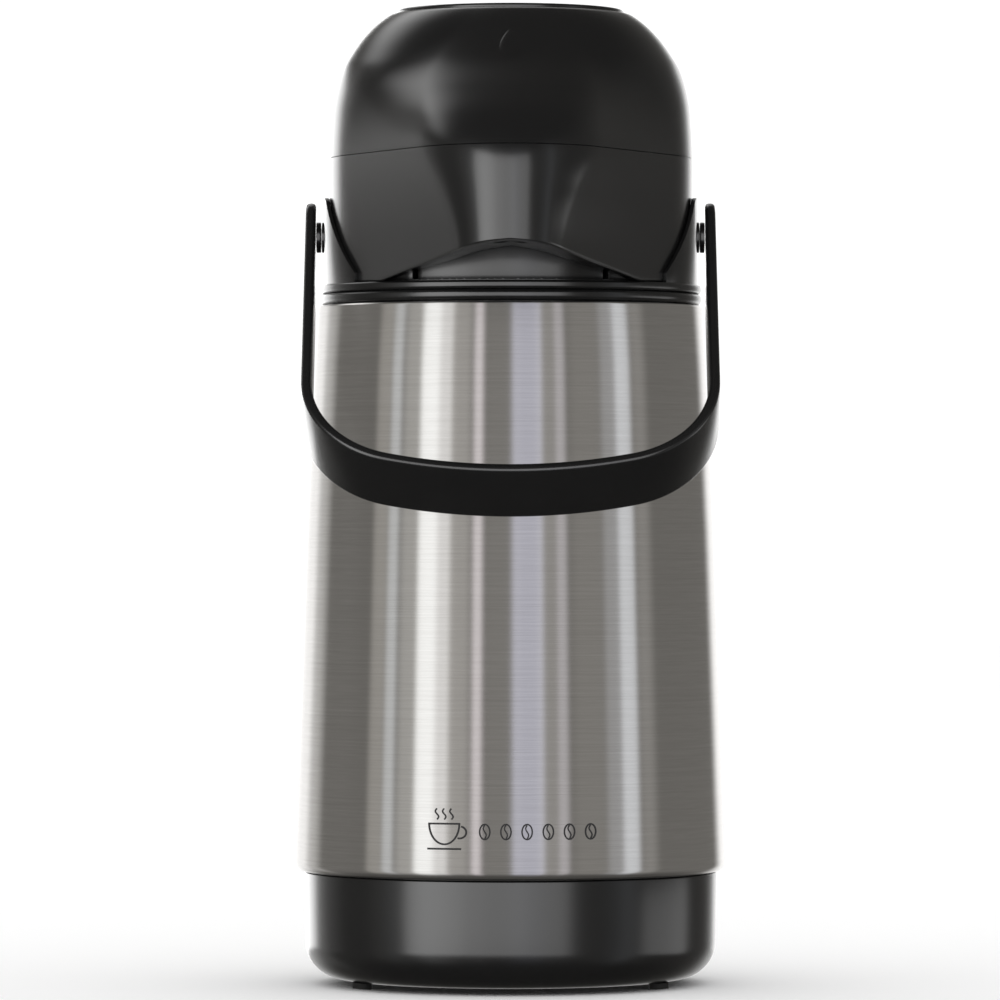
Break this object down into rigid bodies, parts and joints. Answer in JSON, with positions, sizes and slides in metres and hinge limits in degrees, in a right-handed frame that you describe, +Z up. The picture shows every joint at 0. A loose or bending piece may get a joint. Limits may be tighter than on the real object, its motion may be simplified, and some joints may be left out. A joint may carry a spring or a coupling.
{
  "type": "thermal coffee airpot",
  "caption": "Push-pump thermal airpot: tapered brushed steel body with a glass vacuum refill, black base, collar with swing handle, and hinged lid with a beak spout and press plate.",
  "frame": {"origin": "on the floor, under the axis of the body, in the plane of the feet's undersides", "axes": "+Z up along the body's axis; the beak points to -Y; +X is to the viewer's right when facing the beak; the handle and lid pivots are parallel to X"},
  "size_m": [0.1458, 0.1789, 0.3305],
  "materials": {
    "black_gloss": "glossy moulded black plastic",
    "brushed_steel": "fine horizontal brushing",
    "rubber": "matt black rubber",
    "silvered_glass": "silvered glass",
    "felt_pad": "pressed fibre pad",
    "grey_plastic": "satin grey polypropylene",
    "clear_tube": "milky polypropylene",
    "silicone": "translucent white silicone",
    "bright_metal": "bright stainless steel"
  },
  "bodies": {
    "body": {"base_cap": "black_gloss", "rubber_feet": "rubber", "base_ring": "grey_plastic", "steel_sleeve": "brushed_steel", "glass_outer_wall": "silvered_glass", "glass_inner_wall": "silvered_glass", "glass_spacers": "felt_pad", "bottom_cushion": "rubber", "collar": "black_gloss", "neck_gasket": "silicone", "neck_plate": "grey_plastic", "shoulder_shell": "black_gloss", "spout_cover": "black_gloss", "stopper_body": "grey_plastic", "stopper_gasket": "silicone", "dip_tube": "clear_tube", "check_ball": "bright_metal", "delivery_pipe": "grey_plastic", "outlet_nozzle": "grey_plastic", "hinge_pin": "bright_metal"},
    "handle": {"handle": "black_gloss"},
    "lid": {"lid_shell": "black_gloss", "pump_base": "grey_plastic", "lid_gasket": "silicone", "air_valve_flap": "silicone", "lid_screws": "bright_metal", "lid_catch": "grey_plastic", "bellows": "silicone", "return_spring": "bright_metal"},
    "push": {"push_plate": "black_gloss", "bellows_clamp_ring": "grey_plastic"}
  },
  "joints": [
    {"name": "handle_swing", "type": "hinge", "parent": "body", "child": "handle", "pos_m": [0, 0, 0.2534], "axis": [-1, 0, 0], "range_deg": [0, 275.2]},
    {"name": "lid_hinge", "type": "hinge", "parent": "body", "child": "lid", "pos_m": [0, 0.0628, 0.28], "axis": [-1, 0, 0], "range_deg": [0, 85]},
    {"name": "press", "type": "slide", "parent": "lid", "child": "push", "axis": [0, 0, -1], "range_m": [0, 0.017], "stiffness_N_per_m": 450, "springref_m": -0.006, "deforming": ["bellows", "return_spring"]}
  ]
}
